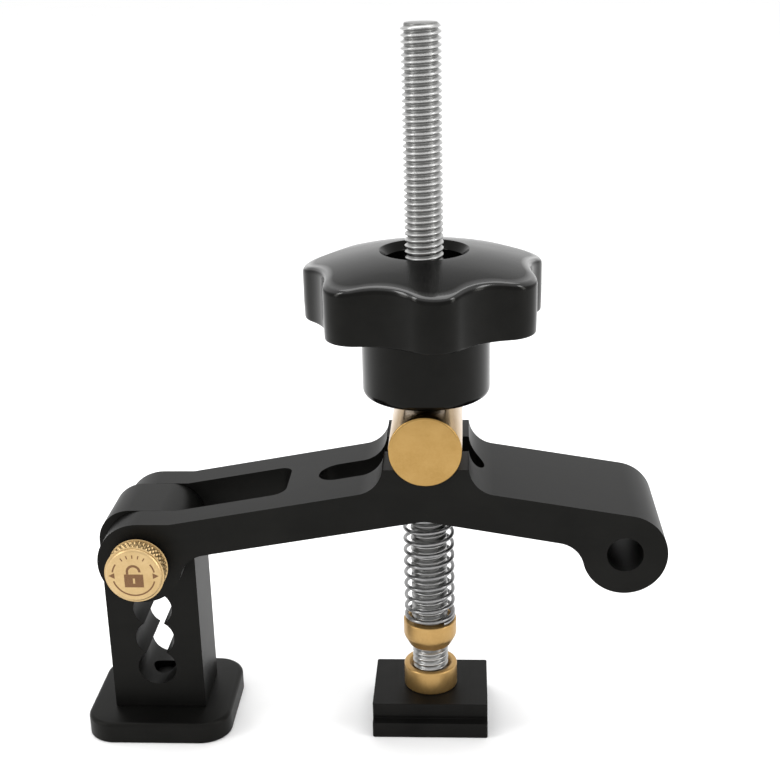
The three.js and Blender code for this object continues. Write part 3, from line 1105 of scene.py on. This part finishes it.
@dataclass
class StarKnob:
    """The moulded knob: a lobed wing under a shallow dome, on a round hub."""

    lobes: int = 7
    steps_per_lobe: int = 36
    tip: float = 25.2
    valley: float = 21.7
    lobe_radius: float = 6.2
    turn: float = -1.45
    draft: float = 0.1
    wing_low: float = 93.0
    wing_low_edge: float = 0.55
    side_foot: float = 4.0
    under_rings: Point = (16.0, 20.0)
    blend_start: float = 0.6
    blend_width: float = 6.0
    dome_top: float = 107.5
    dome_fall: float = 0.0066
    dome_rings: tuple[float, ...] = (22.6, 20.5, 18.0, 15.5, 13.0, 11.0)
    rim: float = 9.2
    rim_round: float = 1.25
    polish_drop: float = 0.5
    hole: float = 7.95
    hole_floor: float = 95.0
    mouth_drop: float = 1.7
    mouth_edge: float = 0.12
    throat_edge: float = 0.1
    hub_radius: float = 13.3
    hub_low: float = 77.1
    hub_foot: float = 1.6
    hub_root: float = 0.5
    clear_bore: float = 4.2
    insert_radius: float = 6.65
    insert_low: float = 78.5

    def outline(self, angle: float) -> float:
        """The star's radius at an angle: round lobes joined by round valleys.

        Args:
            angle: the direction from the axis, in radians from +X.

        Returns:
            The radius.
        """
        half = math.pi / self.lobes
        off = abs((angle - self.turn + half) % (2 * half) - half)
        reach = self.tip - self.lobe_radius
        gap = self.valley - self.lobe_radius
        far = (reach**2 - gap**2) / (2 * (reach * math.cos(half) - gap))
        dip = far - self.valley
        lobe = Vector((reach, 0.0))
        towards = Vector((far * math.cos(half), far * math.sin(half))) - lobe
        tangent = lobe + towards.normalized() * self.lobe_radius
        if off < math.atan2(tangent.y, tangent.x):
            lift = self.lobe_radius**2 - (reach * math.sin(off)) ** 2
            return reach * math.cos(off) + math.sqrt(max(lift, 0.0))
        beyond = half - off
        lift = dip**2 - (far * math.sin(beyond)) ** 2
        return far * math.cos(beyond) - math.sqrt(max(lift, 0.0))

    def dome(self, radius: float) -> float:
        """Height of the top surface at a radius."""
        return self.dome_top - self.dome_fall * (radius**2 - self.rim**2)

    def _section(self) -> list[Point]:
        """The knob's half section at a lobe's tip, bore and recess included.

        Returns:
            A closed ring of (radius, height) points.
        """
        low = self.wing_low
        corners = [
            (self.clear_bore, self.hub_low, 0.0),
            (self.hub_radius, self.hub_low, self.hub_foot),
            (self.hub_radius, low, self.hub_root),
            *((r, low, 0.0) for r in self.under_rings),
            (self.tip - self.draft, low, self.wing_low_edge),
            (self.tip, low + self.side_foot, 0.0),
            (self.tip, self.dome(self.tip), self.rim_round),
            *((r, self.dome(r), 0.0) for r in self.dome_rings),
            (self.rim, self.dome_top, self.mouth_edge),
            (self.hole, self.dome_top - self.mouth_drop, self.throat_edge),
            (self.hole, self.hole_floor, 0.0),
            (self.insert_radius, self.hole_floor, 0.0),
            (self.insert_radius, self.insert_low, 0.0),
            (self.clear_bore, self.insert_low, 0.0),
            (self.clear_bore, self.hub_low, 0.0),
        ]
        return rounded(corners, 6)[:-1]

    def _lobed(self, co: Vector) -> Vector:
        """Draws a point of the turned wing in to the star's outline, along the dome.

        Args:
            co: a point of the turned knob.

        Returns:
            Its place on the lobed knob.
        """
        radius = co.xy.length
        inner = self.hub_radius + self.blend_start
        if co.z < self.wing_low - NEAR or radius < inner:
            return co
        share = min((radius - inner) / self.blend_width, 1.0)
        share = share * share * (3 - 2 * share)
        shrink = self.outline(math.atan2(co.y, co.x)) / self.tip
        new = radius * (1 - share + share * shrink)
        foot = self.wing_low + self.side_foot
        height = (co.z - foot) / (self.dome(radius) - foot)
        rise = (self.dome(new) - self.dome(radius)) * min(max(height, 0.0), 1.0)
        return Vector((co.x * new / radius, co.y * new / radius, co.z + rise))

    def build(self) -> bpy.types.Object:
        """Turns the section, marks its rim for polishing and draws in its valleys.

        Returns:
            The knob.
        """
        steps = self.lobes * self.steps_per_lobe
        blank = Blank().spin(self._section(), Axis.Z, steps=steps, closed=True)
        polish = blank.bm.verts.layers.float.new(MouldedPlastic().polish)
        low = self.dome(self.tip) - self.polish_drop
        for vert in blank.bm.verts:
            out = vert.co.xy.length > self.tip - self.rim_round
            vert[polish] = float(out and vert.co.z > low)
        blank.reshape(self._lobed)
        return blank.finish("star_grip", 40.0)

    def dress(self) -> None:
        """Builds the knob and shows the brass insert in its hub."""
        dress(self.build(), MouldedPlastic().material(), "knob", "black_plastic", "star_knob")
        brass = Brass("insert_brass").material()
        insert = Blank.from_node("knob_insert").eased("threaded_insert", 0.3, 2)
        dress(insert, brass, "knob", "brass", "knob_insert")


@dataclass
class Arm:
    """The machined arm."""

    edge: float = 0.28

    def build(self) -> bpy.types.Object:
        """Takes the arm's CAD shape and softens its edges."""
        return Blank.from_node("clamp_arm").eased("machined_arm", self.edge)

    def dress(self) -> None:
        """Builds the arm in black anodising."""
        dress(self.build(), AnodisedBlack().material(), "arm", "anodised", "clamp_arm")


@dataclass
class Leg:
    """The leg, its foot plate and the screw that joins them."""

    post_edge: float = 0.18
    post_spread: float = 1.033
    foot_edge: float = 0.9
    foot_base_edge: float = 0.25
    foot_height: float = 4.8
    foot_centre: float = -60.4
    foot_reach: float = 7.0
    flat_limit: float = 0.8
    screw_edge: float = 0.12

    def build_post(self) -> bpy.types.Object:
        """Takes the column's CAD shape, a little wider so that it fills the fork.

        Returns:
            The column.
        """
        column = Blank.from_node("leg_post")
        column.reshape(lambda co: Vector((co.x, co.y * self.post_spread, co.z)))
        return column.eased("leg_column", self.post_edge)

    def build_foot(self) -> bpy.types.Object:
        """Rounds the foot plate's upper edge.

        Returns:
            The plate.
        """
        blank = Blank.from_node("foot_plate").bevel(self.foot_edge, 5, self._upper_edge)
        return blank.eased("foot", self.foot_base_edge, 2)

    def _upper_edge(self, edge: bmesh.types.BMEdge) -> bool:
        """Whether an edge lies round the plate's outer top.

        Args:
            edge: an edge of the plate.

        Returns:
            True for the outer top edge.
        """
        a, b = (v.co for v in edge.verts)
        high = min(a.z, b.z) > self.foot_height - 2 * NEAR
        out = min(math.hypot(p.x - self.foot_centre, p.y) for p in (a, b)) > self.foot_reach
        return high and out and edge.calc_face_angle(0.0) > self.flat_limit

    def dress(self) -> None:
        """Builds the leg's three pieces."""
        black = AnodisedBlack("black_anodised_leg").material()
        dress(self.build_post(), black, "leg", "anodised", "leg_post")
        dress(self.build_foot(), black, "leg", "anodised", "foot_plate")
        screw = Blank.from_node("foot_screw").eased("countersunk_screw", self.screw_edge, 2)
        dress(screw, BlackOxide("screw_oxide").material(), "leg", "oxide_steel", "foot_screw")


@dataclass
class LockKnob:
    """The knurled lock knob on its pin, with the marks on its face."""

    x: float = -60.4
    z: float = 43.9
    radius: float = 6.25
    face_radius: float = 5.55
    face_edge: float = 0.12
    front: float = -19.9
    back: float = -15.2
    socket_radius: float = 4.02
    socket_floor: float = -19.1
    bevel_depth: float = 0.4
    knurl_depth: float = 0.36
    knurl_front: float = 0.62
    knurl_back: float = 0.35
    knurl_fade: float = 0.25
    knurls: int = 38
    steps_per_knurl: int = 9
    knurl_rows: float = 4.0
    rim_steps: int = 36
    mark_height: float = 0.02
    mark_ring: float = 4.45
    mark_line: float = 0.32
    sunk: float = 0.01

    def _knurled(self, co: Vector) -> Vector:
        """Presses two crossing families of grooves into the knob's rim.

        Args:
            co: a point of the turned knob.

        Returns:
            Its place on the knurled knob.
        """
        out = Vector((co.x - self.x, 0.0, co.z - self.z))
        low, high = self.front + self.knurl_front, self.back - self.knurl_back
        if out.length < self.radius - 0.05 or not low <= co.y <= high:
            return co
        round_share = math.atan2(out.z, out.x) / FULL_TURN * self.knurls
        along = (co.y - low) / (high - low) * self.knurl_rows
        ridge = min(self._saw(round_share + along / 2), self._saw(round_share - along / 2))
        fade = min(1.0, (co.y - low) / self.knurl_fade, (high - co.y) / self.knurl_fade)
        new = self.radius - self.knurl_depth * (1.0 - ridge * fade)
        return Vector((self.x, co.y, self.z)) + out.normalized() * new

    @staticmethod
    def _saw(x: float) -> float:
        """A ridge that is 0 in each groove and flattens to 1 between them."""
        return min(1.25 * abs(2 * (x % 1.0) - 1.0), 1.0)

    def build_knob(self) -> bpy.types.Object:
        """Turns the knob with a fine rim and knurls it.

        Returns:
            The knob.
        """
        r, f, b = self.radius, self.front, self.back
        low, high = f + self.knurl_front - self.sunk, b - self.knurl_back + self.sunk
        rise = (high - low) / self.rim_steps
        rim = [(r, low + rise * i, 0.0) for i in range(self.rim_steps + 1)]
        neck = r - self.knurl_depth
        line = [
            (0.0, f, 0.0), (self.face_radius, f, self.face_edge),
            (neck + 0.02, f + self.bevel_depth, 0.08), (neck + 0.02, low - 0.02, 0.0), *rim,
            (neck - 0.1, high + 0.04, 0.0), (neck - 0.2, b, 0.1),
            (self.socket_radius, b, 0.0), (self.socket_radius, self.socket_floor, 0.0),
            (0.0, self.socket_floor, 0.0),
        ]
        steps = self.knurls * self.steps_per_knurl
        blank = Blank().spin(rounded(line, 3), Axis.Y, (self.x, 0.0, self.z), steps)
        return blank.reshape(self._knurled).finish("knurled_knob", 55.0)

    def _face_spot(self, across: float, up: float) -> Corner:
        """A point just behind the knob's face, from its centre."""
        return (self.x + across, self.front + self.sunk, self.z + up)

    def _arc(
        self, blank: Blank, ring: float, width: float, degrees: Point, up: float = 0.0
    ) -> None:
        """Adds a curved bar to the marks.

        Args:
            blank: the marks' mesh.
            ring: the bar's middle radius.
            width: its width.
            degrees: where it starts and ends, from +X towards +Z.
            up: how far its centre is above the face's centre.
        """
        centre = self._face_spot(0.0, up)
        first, last = (math.radians(d) for d in degrees)
        inner, outer = ring - width / 2, ring + width / 2
        behind, front = centre[1], self.front - self.mark_height
        spots = [(inner, behind), (outer, behind), (outer, front), (inner, front)]
        verts = [blank.bm.verts.new((centre[0] + r, y, centre[2])) for r, y in spots]
        face = blank.bm.faces.new(verts)
        place = Matrix.Translation(centre)
        turn = place @ Matrix.Rotation(-first, 4, "Y") @ place.inverted()
        bmesh.ops.transform(blank.bm, matrix=turn, verts=verts)
        steps = max(3, round(abs(last - first) * ring / 0.25))
        blank.sweep([face], last - first, steps, centre=centre, axis=(0, -1, 0))

    def _patch(self, blank: Blank, spots: Sequence[Point]) -> None:
        """Adds a flat patch with straight sides to the marks."""
        outline = [self._face_spot(*p) for p in spots]
        blank.plate(outline, (0.0, -self.mark_height - self.sunk, 0.0))

    def _block(self, blank: Blank, left: float, right: float, low: float, high: float) -> None:
        """Adds an upright rectangle to the marks."""
        self._patch(blank, [(left, high), (left, low), (right, low), (right, high)])

    def build_marks(self) -> bpy.types.Object:
        """Lays out a padlock, turning arrows and plain ticks.

        Returns:
            The marks.
        """
        blank = Blank()
        side, slot, top, foot = 2.0, 0.22, 0.35, -2.6
        self._block(blank, -side, -slot, foot, top)
        self._block(blank, slot, side, foot, top)
        self._block(blank, -slot, slot, -0.55, top)
        self._block(blank, -slot, slot, foot, -1.75)
        self._arc(blank, 1.3, 0.52, (-4.0, 180.0), up=0.95)
        self._block(blank, -1.56, -1.04, 0.4, 0.95)
        for span in ((196.0, 344.0), (11.0, 36.0), (144.0, 169.0)):
            self._arc(blank, self.mark_ring, self.mark_line, span)
        for way in (-1.0, 1.0):
            self._patch(blank, [(way * 5.25, 0.0), (way * 4.0, 0.66), (way * 4.0, -0.66)])
        for degrees in (58.0, 74.0, 90.0, 106.0, 122.0):
            self._arc(blank, self.mark_ring - 0.1, 0.75, (degrees - 1.6, degrees + 1.6))
        blank.face_outwards()
        return blank.finish("padlock_marks", 30.0)

    def dress(self) -> None:
        """Builds the knob, its marks, the pin and what keeps the pin in."""
        brass = Brass(
            "knurl_brass", (0.505, 0.36, 0.18), (0.435, 0.30, 0.138), gloss=0.28, axis=Axis.Y,
            centre=(self.x, 0.0, self.z), line_depth=0.003,
        )
        dress(self.build_knob(), brass.material(), "lock_pin", "brass", "lock_knob")
        dress(self.build_marks(), LaserMark().material(), "lock_pin", "brass")
        steel = BrightSteel("pin_steel", gloss=0.2).material()
        clip = BrightSteel("clip_steel", (0.11, 0.11, 0.115), (0.2, 0.2, 0.21), gloss=0.3)
        for node, name, edge, finish, body, slot in (
            ("lock_pin", "flatted_pin", 0.15, steel, "lock_pin", "zinc_steel"),
            ("pin_washer", "washer", 0.12, steel, "pin_washer", "zinc_steel"),
            ("pin_clip", "retaining_ring", 0.08, clip.material(), "lock_pin", "spring_steel"),
        ):
            dress(Blank.from_node(node).eased(name, edge, 2), finish, body, slot, node)


# ---------------------------------------------------------------------- studio


@dataclass(frozen=True)
class Softbox:
    """One rectangular studio light."""

    name: str
    place: Corner
    aim: Corner
    size: Point
    power: float

    def build(self) -> None:
        """Hangs the light and points it."""
        lamp = bpy.data.lights.new(self.name, "AREA")
        lamp.shape = "RECTANGLE"
        lamp.size, lamp.size_y = self.size
        lamp.energy = self.power
        light = placed(self.name, lamp)
        light.location = self.place
        away = Vector(self.place) - Vector(self.aim)
        light.rotation_euler = away.to_track_quat("Z", "Y").to_euler()


@dataclass
class Studio:
    """The pale floor, the soft lights and the camera."""

    camera_place: Corner = (9.22, -271.0, 173.4)
    look_left: float = 3.56
    look_down: float = 19.48
    roll: float = 1.44
    lens: float = 63.39
    film_width: float = 36.0
    nearest: float = 0.01
    floor_size: float = 6.0
    floor_gap: float = 0.0001
    sky: float = 1.05
    middle: Corner = (0.0, 0.0, 0.06)

    def build_camera(self) -> None:
        """Places the camera a little above the clamp, on its lock-knob side."""
        yaw, pitch, roll = (math.radians(a) for a in (-self.look_left, self.look_down, -self.roll))
        level = Vector((math.cos(yaw), -math.sin(yaw), 0.0))
        ahead = Vector((math.sin(yaw), math.cos(yaw), 0.0)) * math.cos(pitch)
        ahead.z = -math.sin(pitch)
        upright = level.cross(ahead)
        right = level * math.cos(roll) + upright * math.sin(roll)
        top = upright * math.cos(roll) - level * math.sin(roll)
        turn = Matrix((right, top, -ahead)).transposed().to_4x4()
        data = bpy.data.cameras.new("camera")
        data.sensor_width = self.film_width
        data.lens = self.lens
        data.clip_start = self.nearest
        camera = placed("camera", data)
        camera.matrix_world = Matrix.Translation(Vector(self.camera_place) * MM) @ turn
        bpy.context.scene.camera = camera

    def build_floor(self) -> None:
        """Lays the floor just under the clamp's feet."""
        bm = bmesh.new()
        bmesh.ops.create_grid(bm, x_segments=1, y_segments=1, size=self.floor_size / 2)
        bmesh.ops.translate(bm, vec=(0, 0, -self.floor_gap), verts=bm.verts)
        mesh = bpy.data.meshes.new("floor")
        bm.to_mesh(mesh)
        bm.free()
        mesh.materials.append(PaleFloor().material())
        placed("floor", mesh)

    def build_sky(self) -> None:
        """Sets an even pale surround."""
        world = bpy.data.worlds.new("surround")
        world.use_nodes = True
        background = world.node_tree.nodes["Background"]
        background.inputs["Color"].default_value = (1, 1, 1, 1)
        background.inputs["Strength"].default_value = self.sky
        bpy.context.scene.world = world

    def build(self) -> None:
        """Builds the studio."""
        bpy.context.scene.view_settings.view_transform = "Standard"
        self.build_camera()
        self.build_floor()
        self.build_sky()
        for light in (
            Softbox("overhead", (0.0, 0.15, 0.9), self.middle, (0.9, 0.7), 5.0),
            Softbox("left_window", (-0.75, -0.35, 0.45), self.middle, (0.16, 0.7), 2.6),
            Softbox("back_light", (0.0, 1.3, 0.55), self.middle, (2.2, 0.7), 1.6),
            Softbox("right_window", (0.8, -0.3, 0.4), self.middle, (0.16, 0.7), 2.6),
        ):
            light.build()


def main() -> None:
    """Builds the studio and each sub-assembly, from the track upwards."""
    logging.basicConfig(level=logging.INFO, format="%(name)s: %(message)s")
    Studio().build()
    for part in (SlotNut(), RodStack(), PivotBarrel(), Arm(), Leg(), LockKnob(), StarKnob()):
        part.dress()
        LOG.info("%s done", type(part).__name__)


if __name__ == "__main__":
    main()
